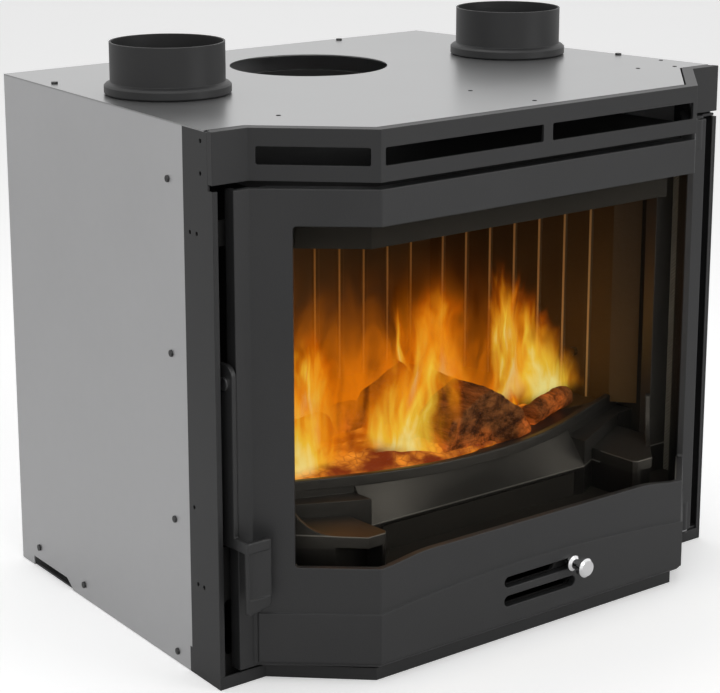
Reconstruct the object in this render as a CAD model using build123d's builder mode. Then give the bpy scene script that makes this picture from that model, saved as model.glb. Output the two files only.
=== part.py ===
from math import atan2, degrees, hypot, sqrt, tan
import os

from build123d import *

os.makedirs("parts", exist_ok=True)

# Fireplace insert with a three-faced bay door, in millimetres. The origin lies on the floor, in the
# middle of the casing's front plane: +X to the right of someone facing the door, +Y to the back, +Z up.

# Casing
front_width = 698.0
back_width = front_width - 103.0
casing_depth = 453.0
casing_height = 557.0
sheet = 1.5
black_sheet = 2.0
fold = 14.0
strip_depth = 56.0
strip_lip = 6.0
strip_tab_height = 27.0
strip_tab_reach = 4.0
foot_front_end = casing_depth - 129.0
foot_back_start = casing_depth - 30.0
foot_rise = 10.5
foot_slope = 15.0
base_flange_height = 13.0
base_inset = 10.0

# Hood: its plan line has a front face and two oblique ones that end at the root
hood_depth = 88.2
hood_root = front_width / 2 - 42.0
hood_half = hood_root - 89.3
hood_height = 50.5
hood_wall = 3.0
hood_rim = 12.0
hood_lip = 8.0
rim_gap = 2.0
louvre_height = 17.5
louvre_rise = 15.5
louvre_round = 2.0
louvre_root_margin = 7.0
louvre_corner_margin = 9.5
louvre_margin = 5.7
louvre_bar = 12.6

# Collars and flue
collar_radius = 59.5
collar_wall = 2.0
collar_height = 53.5
collar_x = front_width / 2 - 110.0
collar_y = casing_depth - 227.0
collar_foot_radius = 65.7
collar_foot_height = 9.0
flue_radius = 75.0
flue_wall = 3.0
flue_y = casing_depth - 158.0
flue_cutout_radius = 88.0
flue_length = 43.0
flue_flange = 14.0

# Firebox
box_half = front_width / 2 - 49.0
box_front = 20.0
box_back = casing_depth - 48.0
box_plate = 4.0
box_foot = 30.0
box_height = casing_height - 59.0
floor_top = 97.0
floor_plate = 6.0
seal_inset = 16.0
seal_gap = 0.7
apron_wall = 4.0
air_window_half = 55.0
air_window_low = 34.0
air_window_high = 79.0
skirt_height = 16.0
rail_x = box_half - 120.0
rail_width = 40.0
rail_wall = 3.0

# Lining
lining_half = box_half - 23.0
lining_wall = 8.0
lining_front = 76.0
lining_wing = 50.0
lining_back = box_back - 50.0
rib_pitch = 37.5
lug_y = 128.0
lug_z = 216.0
lug_radius = 5.0
lug_reach = 6.0
rib_width = 5.0
rib_foot = 11.0
rib_height = 3.5
rib_angle = degrees(atan2(2 * rib_height, rib_foot - rib_width))
first_rib = 110.0
side_rib_count = int((lining_back - first_rib) / rib_pitch) + 1
baffle_wall = 8.0
baffle_front = 90.0

# Hearth
hearth_top = 165.0
lining_height = box_height - hearth_top - 56.0
hearth_wall = 8.0
ledge_top = 129.0
cheek_top = 157.0
ledge_y = 0.8
ledge_half = box_half - 146.0
cheek_slope = 0.5
bow_radius = 430.0
hearth_front_edge = 2.0
rim_height = 11.0
rim_wall = 8.0
rim_proud = 2.0
grate_length = 220.0
grate_width = 150.0
grate_offset = 33.5
grate_wall = 5.0
grate_lip = 6.0
grate_slot = 9.0
grate_bars = 8
pan_half = ledge_half - 15.5
pan_wall = 1.5
pan_depth = 326.0
pan_gap = 0.8
pan_height = 27.0
bearer_width = 14.0

# Bay furniture
jamb_inner = box_half - 38.0
jamb_front = 5.0
block_inner = ledge_half + 24.0
block_front = -54.0
block_corner = block_inner + 26.0
block_top = 142.0
block_slab = 12.0
block_leg = 8.0
block_setback = 12.0
fin_radius = 50.0
fin_wall = 5.0
deflector_inset = 28.5
deflector_wall = 3.0

# Door
door_bottom = 17.1
door_top = casing_height - hood_height - 6.5
door_half = hood_half - 0.7
door_depth = hood_depth + 0.6
door_root = hood_root + 3.0
door_face = -4.2
door_width = front_width - 42.8
door_rim_back = 10.0
door_wall = 7.0
door_round = 4.0
door_bevel = 5.0
window_low = 121.5
window_crown = 128.0
window_crown_half = door_half - 67.0
window_high = door_top - 36.0
window_side = door_root - 30.5
deflector_low = window_high - 27.5
window_round = 4.0
relief = 1.8
relief_side = 74.0
relief_crown = 86.0
flange_wall = 5.0

# Door glass and seals
gasket_wall = 1.5
gasket_width = 10.0
glass_wall = 4.0
glass_overlap = 13.0
clip_width = 22.0
clip_x = door_half - 67.0
clip_wall = 2.0
clip_reach = 6.5
rope = 8.0
rope_x = box_half - 8.6
running = 0.3

# Hinge
hinge_y = 4.0
pin_radius = 5.0
pin_clearance = 0.05
pin_reach = 24.0
boss_radius = 9.0
hinge_x = door_width / 2 - boss_radius - 0.1
boss_height = 34.0
bracket_wall = 2.8
bracket_gap = 1.2

# Handle
lever_wall = 5.0
lever_outer = door_width / 2 + lever_wall + 2.9
lever_top = 331.0
lever_low = 147.0
lever_elbow = 166.0
lever_front = -8.0
lever_depth = 23.0
lever_round = 12.0
paddle_front = -25.0
paddle_wall = 5.0
dimple_radius = 60.0
dimple_depth = 1.6
paddle_width = 29.0
paddle_top = 158.5
paddle_low = 83.0
paddle_skew = 5.5
pivot_y = 5.0
pivot_z = 312.0
pivot_radius = 4.0
pivot_head = 6.5
keeper_z = 240.0
keeper_radius = 3.5
keeper_seat = 2.0

# Air register
slot_length = 103.0
slot_height = 12.0
slot_high_z = 66.8
slot_low_z = 46.0
register_wall = 3.0
register_gap = 1.0
register_left = -slot_length / 2 - 18.5
register_right = slot_length / 2 + 113.5
knob_stem = 4.0
knob_x = slot_length / 2 - knob_stem - 2.0
knob_back_radius = 8.5
knob_front_radius = 10.4
knob_reach = 24.0
rail_depth = 6.0
rail_height = 5.0

# Side shields
shield_y = 19.0
shield_inner = box_half + 3.0
shield_top = 140.0
gap_plate_low = door_top - 57.0
gap_plate_height = 25.0
shield_slot_x = front_width / 2 - 25.0
shield_slot_width = 10.5
shield_slot_low = 26.0
shield_slot_high = 84.0

# Screws
screw_radius = 3.6
screw_head = 2.0
top_screw_spots = [
    (54.5 - front_width / 2, casing_depth - 98.0), (163.0, casing_depth - 12.0), (front_width / 2 - 22.0, 133.0)
]
strip_holes = [
    (21.0, casing_height - 11.0), (22.0, casing_height - 42.0), (44.0, casing_height - 102.0),
    (31.0, casing_height - 101.5), (46.0, 178.0), (41.0, 99.0), (29.0, 99.0),
]
hole_radius = 2.2
side_screw_spots = [
    (86.0, casing_height - 57.0), (86.0, casing_height / 2 + 47.5), (86.0, 154.0), (86.0, 12.0),
    (296.0, 16.0), (casing_depth - 46.0, 25.0),
]

# Firewood
split_width = 140.0
split_height = 66.0
split_length = 170.0
split_x = 25.0
log_gap = 14.0
branch_radius = 13.0
branch_length = 92.0
log_radius = 20.0
log_length = 130.0

# What follows from the sizes above
taper = (front_width - back_width) / 2 / casing_depth
taper_run = hypot(1, taper)
hood_bottom = casing_height - hood_height
seat = jamb_front - running - rope
bay_end = seat - running
wing = door_width / 2
bow_end_y = bow_radius - sqrt(bow_radius**2 - ledge_half**2)
bow_slope = ledge_half / sqrt(bow_radius**2 - ledge_half**2)
hearth_front_back = bow_end_y + bow_slope * (box_half - ledge_half) + hearth_front_edge
grate_y = hearth_front_back + grate_offset + grate_width / 2


def half_width(y):
    """Half the casing's outer width at depth y."""
    return front_width / 2 - taper * y


def tapered(front_half, y, wall=0.0):
    """Half width, at depth y, of an upright face that runs parallel to the casing's side, less a wall."""
    return front_half - taper * y - wall * taper_run


def line_points(half, depth, root, root_y, inset, y_end):
    """Plan points of a three-faced line, moved inwards by inset and ended at depth y_end."""
    run = (root - half) / (root_y + depth)
    x_face = half - inset * tan(atan2(root_y + depth, root - half) / 2)
    x_end = x_face + (y_end + depth - inset) * run
    return [(-x_end, y_end), (-x_face, inset - depth), (x_face, inset - depth), (x_end, y_end)]


def hood_line(inset, y_end):
    """Plan points of the hood's line."""
    return line_points(hood_half, hood_depth, hood_root, 0, inset, y_end)


def door_line(inset, y_end):
    """Plan points of the door's line."""
    return line_points(door_half, door_depth, door_root, door_face, inset, y_end)


def door_band(outer, inner, y_end):
    """A sketch of the strip between two lines of the door."""
    with BuildSketch() as band:
        with BuildLine():
            Polyline(*door_line(outer, y_end), *reversed(door_line(inner, y_end)), close=True)
        make_face()
    return band.sketch


def oblique_plane(line, side, distance):
    """A plane on a line's oblique face, its origin at distance from the root, its z axis outwards."""
    corner, root = (Vector(*point) for point in (line[2:] if side > 0 else reversed(line[:2])))
    along = (root - corner).normalized()
    outward = Vector(along.Y, -along.X, 0) * side
    return Plane(origin=root - along * distance, x_dir=along * side, z_dir=outward)


def side_plane(front_half, lift=0.0):
    """The upright plane of the right-hand side; local x runs to the back, local y is the height."""
    return Plane(origin=(front_half + lift * taper_run, 0, 0), x_dir=(-taper, 1, 0), z_dir=(1, taper, 0))


# Casing floor: a sheet that carries everything, folded up along the front of the bay
with BuildPart() as base_plate:
    with BuildSketch():
        with BuildLine():
            front = hood_line(base_inset, 0)
            side_x = tapered(front_width / 2, 0, black_sheet)
            back = casing_depth - sheet
            Polyline(
                (-side_x, 0), *front, (side_x, 0),
                (tapered(front_width / 2, back, black_sheet), back),
                (-tapered(front_width / 2, back, black_sheet), back), close=True,
            )
        make_face()
    extrude(amount=black_sheet)
    with BuildSketch(Plane.XY.offset(black_sheet)):
        with BuildLine():
            inside = hood_line(base_inset + black_sheet, black_sheet)
            Polyline(*hood_line(base_inset, black_sheet), *reversed(inside), close=True)
        make_face()
        for side in (-1, 1):
            with BuildLine():
                root = inside[3][0]
                Polyline(
                    (side * root, 0), (side * side_x, 0),
                    (side * (side_x - taper * black_sheet), black_sheet), (side * root, black_sheet), close=True,
                )
            make_face()
    extrude(amount=base_flange_height - black_sheet)
base_plate.part.label = "base_plate"
export_step(base_plate.part, "parts/base_plate.step")

# Two channels that lift the firebox off the casing floor
with BuildPart() as support_rails:
    with BuildSketch(Plane.XZ.offset(-box_front)):
        with Locations((-rail_x, 0), (rail_x, 0)):
            with Locations((0, black_sheet)):
                Rectangle(rail_width, box_foot - black_sheet, align=(Align.CENTER, Align.MIN))
                Rectangle(
                    rail_width - 2 * rail_wall, box_foot - black_sheet - rail_wall,
                    align=(Align.CENTER, Align.MIN), mode=Mode.SUBTRACT,
                )
    extrude(amount=-(box_back - box_front))
support_rails.part.label = "support_rails"
export_step(support_rails.part, "parts/support_rails.step")

# Galvanised side panel with its folds: rear and front folds inwards, top fold under the top panel
with BuildPart() as side_panel_right:
    with BuildSketch(side_plane(front_width / 2)):
        with BuildLine():
            run = taper_run
            Polyline(
                (strip_depth * run, strip_tab_height), ((strip_depth + strip_tab_reach) * run, strip_tab_height),
                ((strip_depth + strip_tab_reach) * run, 0), (foot_front_end * run, 0),
                ((foot_front_end + foot_slope) * run, foot_rise), (foot_back_start * run, foot_rise),
                (foot_back_start * run, 0), (casing_depth * run, 0),
                (casing_depth * run, casing_height - sheet), (strip_depth * run, casing_height - sheet),
                close=True,
            )
        make_face()
    extrude(amount=-sheet)
    with BuildSketch(Plane.XY.offset(foot_rise)):
        with BuildLine():
            y = casing_depth - sheet
            Polyline(
                (half_width(y - sheet) - sheet, y - sheet), (half_width(y) - sheet, y),
                (half_width(y) - fold, y), (half_width(y) - fold, y - sheet), close=True,
            )
        make_face()
    extrude(amount=casing_height - sheet - foot_rise)
    with BuildSketch(Plane.XY.offset(casing_height - 2 * sheet)):
        with BuildLine():
            near, far = strip_depth, casing_depth - sheet
            Polyline(
                (half_width(near) - sheet, near), (half_width(far) - sheet, far),
                (half_width(far) - fold, far), (half_width(near) - fold, near), close=True,
            )
        make_face()
    extrude(amount=sheet)
side_panel_right.part.label = "side_panel_right"
export_step(side_panel_right.part, "parts/side_panel_right.step")

with BuildPart() as side_panel_left:
    mirror(side_panel_right.part, about=Plane.YZ)
side_panel_left.part.label = "side_panel_left"
export_step(side_panel_left.part, "parts/side_panel_left.step")

# Black front strip: carries on the side panel, with a lip folded behind the door's gap
with BuildPart() as front_strip_right:
    with BuildSketch(side_plane(front_width / 2)):
        with BuildLine():
            run = taper_run
            notch = door_top + running
            strip_start = hood_lip + running
            Polyline(
                (0, 0), ((strip_depth + strip_tab_reach) * run, 0),
                ((strip_depth + strip_tab_reach) * run, strip_tab_height), (strip_depth * run, strip_tab_height),
                (strip_depth * run, casing_height - sheet), (strip_start * run, casing_height - sheet),
                (strip_start * run, notch), (0, notch), close=True,
            )
        make_face()
    extrude(amount=-black_sheet)
    with BuildSketch(Plane.XY.offset(base_flange_height + running)):
        with BuildLine():
            Polyline(
                (tapered(front_width / 2, 0, black_sheet), 0),
                (tapered(front_width / 2, black_sheet, black_sheet), black_sheet),
                (front_width / 2 - strip_lip, black_sheet), (front_width / 2 - strip_lip, 0), close=True,
            )
        make_face()
    extrude(amount=door_top - base_flange_height)
    with BuildSketch(side_plane(front_width / 2)):
        for y, z in strip_holes:
            with Locations((y * taper_run, z)):
                Circle(hole_radius)
    extrude(amount=-black_sheet, mode=Mode.SUBTRACT)
front_strip_right.part.label = "front_strip_right"
export_step(front_strip_right.part, "parts/front_strip_right.step")

with BuildPart() as front_strip_left:
    mirror(front_strip_right.part, about=Plane.YZ)
front_strip_left.part.label = "front_strip_left"
export_step(front_strip_left.part, "parts/front_strip_left.step")

# Back panel with a row of intake slots for the convection air
with BuildPart() as back_panel:
    with BuildSketch(Plane.XZ.offset(-(casing_depth - sheet))):
        inner_back = tapered(front_width / 2, casing_depth, sheet)
        with Locations((0, foot_rise)):
            Rectangle(
                2 * inner_back, casing_height - sheet - foot_rise, align=(Align.CENTER, Align.MIN)
            )
        with GridLocations(back_width / 7, 1, 6, 1):
            with Locations((0, 3 * fold)):
                SlotOverall(back_width / 10, fold, mode=Mode.SUBTRACT)
    extrude(amount=-sheet)
back_panel.part.label = "back_panel"
export_step(back_panel.part, "parts/back_panel.step")

# Top panel: one sheet behind the hood's rim, open for the flue and for the two hot-air collars
with BuildPart() as top_panel:
    with BuildSketch(Plane.XY.offset(casing_height - sheet)):
        with BuildLine():
            edge = hood_rim + rim_gap
            front = hood_line(edge, edge)
            Polyline(
                (-half_width(edge), edge), *front, (half_width(edge), edge),
                (half_width(casing_depth), casing_depth), (-half_width(casing_depth), casing_depth), close=True,
            )
        make_face()
        with Locations((0, flue_y)):
            Circle(flue_cutout_radius, mode=Mode.SUBTRACT)
        with Locations((-collar_x, collar_y), (collar_x, collar_y)):
            Circle(collar_radius - collar_wall, mode=Mode.SUBTRACT)
    extrude(amount=sheet)
top_panel.part.label = "top_panel"
export_step(top_panel.part, "parts/top_panel.step")

# Hood: a folded channel along the bay, louvred on its three faces
with BuildPart() as front_hood:
    with BuildSketch(Plane.XY.offset(hood_bottom)):
        with BuildLine():
            Polyline(
                (-half_width(hood_lip), hood_lip), (-front_width / 2, 0), *hood_line(0, 0), (front_width / 2, 0),
                (half_width(hood_lip), hood_lip),
                (tapered(front_width / 2, hood_lip, hood_wall), hood_lip),
                (tapered(front_width / 2, hood_wall, hood_wall), hood_wall),
                *reversed(hood_line(hood_wall, hood_wall)),
                (-tapered(front_width / 2, hood_wall, hood_wall), hood_wall),
                (-tapered(front_width / 2, hood_lip, hood_wall), hood_lip), close=True,
            )
        make_face()
    extrude(amount=hood_height)
    for level in (hood_bottom, casing_height - hood_wall):
        with BuildSketch(Plane.XY.offset(level)):
            with BuildLine():
                inner = tapered(front_width / 2, hood_rim, hood_wall)
                Polyline(
                    (-front_width / 2 + hood_wall, hood_wall), *hood_line(hood_wall, hood_wall),
                    (front_width / 2 - hood_wall, hood_wall), (inner, hood_rim),
                    *reversed(hood_line(hood_rim, hood_rim)), (-inner, hood_rim), close=True,
                )
            make_face()
        extrude(amount=hood_wall)
    louvre_z = hood_bottom + louvre_rise + louvre_height / 2
    oblique_length = hypot(hood_root - hood_half, hood_depth)
    face_louvre = hood_half - louvre_margin - louvre_bar / 2
    with BuildSketch(Plane.XZ.offset(hood_depth)):
        with Locations(
            (-(louvre_bar + face_louvre) / 2, louvre_z), ((louvre_bar + face_louvre) / 2, louvre_z)
        ):
            RectangleRounded(face_louvre, louvre_height, louvre_round)
    extrude(amount=-hood_wall, mode=Mode.SUBTRACT)
    louvre_start, louvre_end = louvre_root_margin, oblique_length - louvre_corner_margin
    for side in (-1, 1):
        with BuildSketch(oblique_plane(hood_line(0, 0), side, (louvre_start + louvre_end) / 2)):
            with Locations((0, louvre_z)):
                RectangleRounded(louvre_end - louvre_start, louvre_height, louvre_round)
        extrude(amount=-hood_wall, mode=Mode.SUBTRACT)
front_hood.part.label = "front_hood"
export_step(front_hood.part, "parts/front_hood.step")

# Hot-air collars: spun sheet with a rolled foot on the top panel
for side, name in ((-1, "hot_air_collar_left"), (1, "hot_air_collar_right")):
    with BuildPart() as collar:
        with BuildSketch(Plane.XZ.offset(-collar_y)):
            with BuildLine():
                inner = collar_radius - collar_wall
                foot = Polyline(
                    (inner, 0), (collar_foot_radius - collar_wall, 0), (collar_foot_radius, collar_wall),
                    (collar_foot_radius, collar_foot_height), (collar_foot_radius - collar_wall, collar_foot_height + collar_wall),
                    (collar_radius, collar_foot_height + 2 * collar_wall), (collar_radius, collar_height),
                    (inner, collar_height), close=True,
                )
            make_face()
        revolve(axis=Axis((0, collar_y, 0), (0, 0, 1)))
    spot = Location((side * collar_x, 0, casing_height))
    collar.part = collar.part.moved(spot)
    collar.part.label = name
    export_step(collar.part, f"parts/{name}.step")

# Firebox wrap: one bent plate for both sides and the back
with BuildPart() as firebox_body:
    with BuildSketch(Plane.XY.offset(box_foot)):
        with BuildLine():
            Polyline(
                (-tapered(box_half, box_front), box_front), (-tapered(box_half, box_back), box_back),
                (tapered(box_half, box_back), box_back), (tapered(box_half, box_front), box_front),
                (tapered(box_half, box_front, box_plate), box_front),
                (tapered(box_half, box_back - box_plate, box_plate), box_back - box_plate),
                (-tapered(box_half, box_back - box_plate, box_plate), box_back - box_plate),
                (-tapered(box_half, box_front, box_plate), box_front), close=True,
            )
        make_face()
    extrude(amount=box_height - box_plate - box_foot)
firebox_body.part.label = "firebox_body"
export_step(firebox_body.part, "parts/firebox_body.step")

# Firebox floor: a plate that reaches forwards into the bay, where it is the shelf behind the glass
with BuildPart() as firebox_floor:
    shoulder = door_line(seal_inset, bay_end)[3][0]
    with BuildSketch(Plane.XY.offset(floor_top - floor_plate)):
        with BuildLine():
            far = box_back - box_plate
            Polyline(
                (-shoulder, jamb_front), *door_line(seal_inset, bay_end), (shoulder, jamb_front),
                (tapered(box_half, jamb_front, box_plate), jamb_front),
                (tapered(box_half, far, box_plate), far), (-tapered(box_half, far, box_plate), far),
                (-tapered(box_half, jamb_front, box_plate), jamb_front), close=True,
            )
        make_face()
    extrude(amount=floor_plate)
firebox_floor.part.label = "firebox_floor"
export_step(firebox_floor.part, "parts/firebox_floor.step")

# Apron under the shelf: closes the air box behind the door's lower panel, open behind the register
with BuildPart() as bay_apron:
    apron_low = base_flange_height + running
    with BuildSketch(Plane.XY.offset(apron_low)):
        add(door_band(seal_inset, seal_inset + apron_wall, bay_end))
    extrude(amount=floor_top - floor_plate - apron_low)
    with BuildSketch(Plane.XZ.offset(door_depth - seal_inset)):
        with Locations((0, (air_window_low + air_window_high) / 2)):
            RectangleRounded(2 * air_window_half, air_window_high - air_window_low, louvre_round)
    extrude(amount=-apron_wall, mode=Mode.SUBTRACT)
bay_apron.part.label = "bay_apron"
export_step(bay_apron.part, "parts/bay_apron.step")

# Firebox crown: the top plate, with a skirt round the bay that the door's rope meets
with BuildPart() as firebox_crown:
    with BuildSketch(Plane.XY.offset(box_height - box_plate)):
        with BuildLine():
            Polyline(
                (-shoulder, jamb_front), *door_line(seal_inset, bay_end), (shoulder, jamb_front),
                (tapered(box_half, jamb_front), jamb_front),
                (tapered(box_half, box_back), box_back), (-tapered(box_half, box_back), box_back),
                (-tapered(box_half, jamb_front), jamb_front), close=True,
            )
        make_face()
        with Locations((0, flue_y)):
            Circle(flue_radius, mode=Mode.SUBTRACT)
    extrude(amount=box_plate)
    with BuildSketch(Plane.XY.offset(box_height - box_plate - skirt_height)):
        add(door_band(seal_inset, seal_inset + apron_wall, bay_end))
    extrude(amount=skirt_height)
firebox_crown.part.label = "firebox_crown"
export_step(firebox_crown.part, "parts/firebox_crown.step")

# Flue spigot on the crown, sunk below the casing's cut-out
with BuildPart() as flue_spigot:
    with BuildSketch(Plane.XY.offset(box_height)):
        with Locations((0, flue_y)):
            Circle(flue_radius + flue_wall + flue_flange)
            Circle(flue_radius, mode=Mode.SUBTRACT)
    extrude(amount=box_plate)
    with BuildSketch(Plane.XY.offset(box_height + box_plate)):
        with Locations((0, flue_y)):
            Circle(flue_radius + flue_wall)
            Circle(flue_radius, mode=Mode.SUBTRACT)
    extrude(amount=flue_length - box_plate)
flue_spigot.part.label = "flue_spigot"
export_step(flue_spigot.part, "parts/flue_spigot.step")

# Cast side lining: an upright plate with vertical ribs towards the fire and a splayed front end
with BuildPart() as fluted_side_right:
    with BuildSketch(Plane.XY.offset(hearth_top)):
        with BuildLine():
            wing_x = tapered(box_half, lining_wing, box_plate + 3)
            Polyline(
                (tapered(lining_half, lining_back), lining_back), (tapered(lining_half, lining_front), lining_front),
                (wing_x, lining_wing), (wing_x, lining_wing + lining_wall * 1.5),
                (tapered(lining_half, lining_front, -lining_wall), lining_front + lining_wall / 2),
                (tapered(lining_half, lining_back, -lining_wall), lining_back), close=True,
            )
        make_face()
        for number in range(side_rib_count):
            y = first_rib + number * rib_pitch
            with BuildLine():
                Polyline(
                    (tapered(lining_half, y - rib_foot / 2, -1), y - rib_foot / 2),
                    (tapered(lining_half, y - rib_foot / 2), y - rib_foot / 2),
                    (tapered(lining_half, y - rib_width / 2, rib_height), y - rib_width / 2),
                    (tapered(lining_half, y + rib_width / 2, rib_height), y + rib_width / 2),
                    (tapered(lining_half, y + rib_foot / 2), y + rib_foot / 2),
                    (tapered(lining_half, y + rib_foot / 2, -1), y + rib_foot / 2), close=True,
                )
            make_face()
    extrude(amount=lining_height)
    with BuildSketch(side_plane(lining_half)):
        with Locations((lug_y * taper_run, lug_z)):
            Circle(lug_radius)
    extrude(amount=-lug_reach)
fluted_side_right.part.label = "fluted_side_right"
export_step(fluted_side_right.part, "parts/fluted_side_right.step")

with BuildPart() as fluted_side_left:
    mirror(fluted_side_right.part, about=Plane.YZ)
fluted_side_left.part.label = "fluted_side_left"
export_step(fluted_side_left.part, "parts/fluted_side_left.step")

# Cast back lining with the same ribs
with BuildPart() as fluted_back:
    with BuildSketch(Plane.XY.offset(hearth_top)):
        with Locations((0, lining_back)):
            Rectangle(2 * tapered(lining_half, lining_back, -lining_wall), lining_wall, align=(Align.CENTER, Align.MIN))
        with Locations((0, lining_back)):
            with GridLocations(rib_pitch, 1, 2 * int(tapered(lining_half, lining_back) / rib_pitch), 1):
                Trapezoid(rib_foot, rib_height, rib_angle, align=(Align.CENTER, Align.MIN), rotation=180)
    extrude(amount=lining_height)
fluted_back.part.label = "fluted_back"
export_step(fluted_back.part, "parts/fluted_back.step")

# Baffle: lies on the three lining plates and turns the smoke forwards round its edge
with BuildPart() as baffle_plate:
    with BuildSketch(Plane.XY.offset(hearth_top + lining_height)):
        with BuildLine():
            far = lining_back + lining_wall
            Polyline(
                (-tapered(lining_half, baffle_front), baffle_front), (tapered(lining_half, baffle_front), baffle_front),
                (tapered(lining_half, far), far), (-tapered(lining_half, far), far), close=True,
            )
        make_face()
        offset(amount=lining_wall / 2, kind=Kind.INTERSECTION)
    extrude(amount=baffle_wall)
baffle_plate.part.label = "baffle_plate"
export_step(baffle_plate.part, "parts/baffle_plate.step")

# Bearers along the firebox sides, under the hearth plate
with BuildPart() as hearth_bearers:
    with BuildSketch(Plane.XY.offset(cheek_top - bearer_width)):
        for side in (-1, 1):
            with BuildLine():
                near, far = hearth_front_back, box_back - box_plate
                Polyline(
                    (side * tapered(box_half, near, box_plate), near), (side * tapered(box_half, far, box_plate), far),
                    (side * (tapered(box_half, far, box_plate) - bearer_width), far),
                    (side * (tapered(box_half, near, box_plate) - bearer_width), near), close=True,
                )
            make_face()
    extrude(amount=bearer_width)
hearth_bearers.part.label = "hearth_bearers"
export_step(hearth_bearers.part, "parts/hearth_bearers.step")

# Hearth plate with a rebated opening for the grate
with BuildPart() as hearth_plate:
    with BuildSketch(Plane.XY.offset(cheek_top)):
        with BuildLine():
            near, far = hearth_front_back, box_back - box_plate
            Polyline(
                (-tapered(box_half, near, box_plate), near), (tapered(box_half, near, box_plate), near),
                (tapered(box_half, far, box_plate), far), (-tapered(box_half, far, box_plate), far), close=True,
            )
        make_face()
        with Locations((0, grate_y)):
            Rectangle(grate_length - 2 * grate_lip, grate_width - 2 * grate_lip, mode=Mode.SUBTRACT)
    extrude(amount=hearth_top - cheek_top)
    with BuildSketch(Plane.XY.offset(hearth_top - grate_wall)):
        with Locations((0, grate_y)):
            Rectangle(grate_length + 2 * running, grate_width + 2 * running)
    extrude(amount=grate_wall, mode=Mode.SUBTRACT)
hearth_plate.part.label = "hearth_plate"
export_step(hearth_plate.part, "parts/hearth_plate.step")

# Grate: a slotted casting in the rebate
with BuildPart() as grate:
    with BuildSketch(Plane.XY.offset(hearth_top - grate_wall)):
        with Locations((0, grate_y)):
            Rectangle(grate_length, grate_width)
            with GridLocations((grate_length - 4 * grate_lip) / grate_bars, 1, grate_bars, 1):
                SlotOverall(grate_width - 4 * grate_lip, grate_slot, rotation=90, mode=Mode.SUBTRACT)
    extrude(amount=grate_wall)
grate.part.label = "grate"
export_step(grate.part, "parts/grate.step")


def cheek_y(x):
    """Depth of the hearth front's slanting cheek at x."""
    return ledge_y + cheek_slope * (x - ledge_half)


def bow_y(x):
    """Depth of the straight end of the hearth's bowed edge at x."""
    return bow_end_y + bow_slope * (x - ledge_half)


# Hearth front: a casting whose straight ledge sweeps up into the bowed edge of the hearth
with BuildPart() as hearth_front:
    rear = hearth_front_back
    wide_x = tapered(box_half, rear, box_plate) - running
    shoulder = box_front + running
    with BuildSketch(Plane.XY.offset(floor_top)):
        with BuildLine():
            Polyline(
                (-wide_x, rear), (-wide_x, cheek_y(jamb_inner)), (-jamb_inner, cheek_y(jamb_inner)),
                (-ledge_half, ledge_y), (ledge_half, ledge_y), (jamb_inner, cheek_y(jamb_inner)),
                (wide_x, cheek_y(jamb_inner)), (wide_x, rear), close=True,
            )
        make_face()
    extrude(amount=ledge_top - floor_top)
    for side in (-1, 1):
        with BuildSketch(Plane.XY.offset(ledge_top)):
            with BuildLine():
                Polyline(
                    (side * ledge_half, ledge_y), (side * jamb_inner, cheek_y(jamb_inner)),
                    (side * wide_x, cheek_y(jamb_inner)), (side * wide_x, rear), (side * ledge_half, rear), close=True,
                )
            make_face()
        extrude(amount=cheek_top - ledge_top)
        with BuildSketch(Plane.XY.offset(cheek_top)):
            with BuildLine():
                Polyline(
                    (side * ledge_half, bow_end_y), (side * wide_x, bow_y(wide_x)),
                    (side * wide_x, rear), (side * ledge_half, rear), close=True,
                )
            make_face()
        extrude(amount=hearth_top - cheek_top)
    for level, arc_end, arc_middle in ((ledge_top, ledge_y, ledge_y - 0.5), (hearth_top, bow_end_y, 0)):
        with BuildSketch(Plane.XY.offset(level)):
            with BuildLine():
                Polyline((ledge_half, arc_end), (ledge_half, rear), (-ledge_half, rear), (-ledge_half, arc_end))
                ThreePointArc((-ledge_half, arc_end), (0, arc_middle), (ledge_half, arc_end))
            make_face()
    loft()
    with BuildSketch(Plane.XY.offset(floor_top)):
        with BuildLine():
            hollow_x, hollow_y = jamb_inner - hearth_wall, rear - 2 * hearth_wall
            front_y = bow_end_y + hearth_wall
            Polyline(
                (-hollow_x, rear), (-hollow_x, hollow_y), (-ledge_half, front_y), (ledge_half, front_y),
                (hollow_x, hollow_y), (hollow_x, rear), close=True,
            )
        make_face()
    extrude(amount=cheek_top - floor_top, mode=Mode.SUBTRACT)
    with BuildSketch(Plane.XY.offset(floor_top)):
        Rectangle(2 * (pan_half + pan_gap), 2 * rear)
    extrude(amount=pan_height + pan_gap, mode=Mode.SUBTRACT)
hearth_front.part.label = "hearth_front"
export_step(hearth_front.part, "parts/hearth_front.step")

# Log retainer: the raised rim that follows the bowed edge
with BuildPart() as log_retainer:
    with BuildSketch(Plane.XY.offset(hearth_top)):
        with BuildLine():
            for shift in (-rim_proud, rim_wall - rim_proud):
                Line((-jamb_inner, bow_y(jamb_inner) + shift), (-ledge_half, bow_end_y + shift))
                ThreePointArc((-ledge_half, bow_end_y + shift), (0, shift), (ledge_half, bow_end_y + shift))
                Line((ledge_half, bow_end_y + shift), (jamb_inner, bow_y(jamb_inner) + shift))
            for side in (-1, 1):
                y = bow_y(jamb_inner)
                Line((side * jamb_inner, y - rim_proud), (side * jamb_inner, y + rim_wall - rim_proud))
        make_face()
    extrude(amount=rim_height)
    fillet(log_retainer.faces().sort_by(Axis.Z)[-1].edges(), radius=1.5)
log_retainer.part.label = "log_retainer"
export_step(log_retainer.part, "parts/log_retainer.step")

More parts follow.
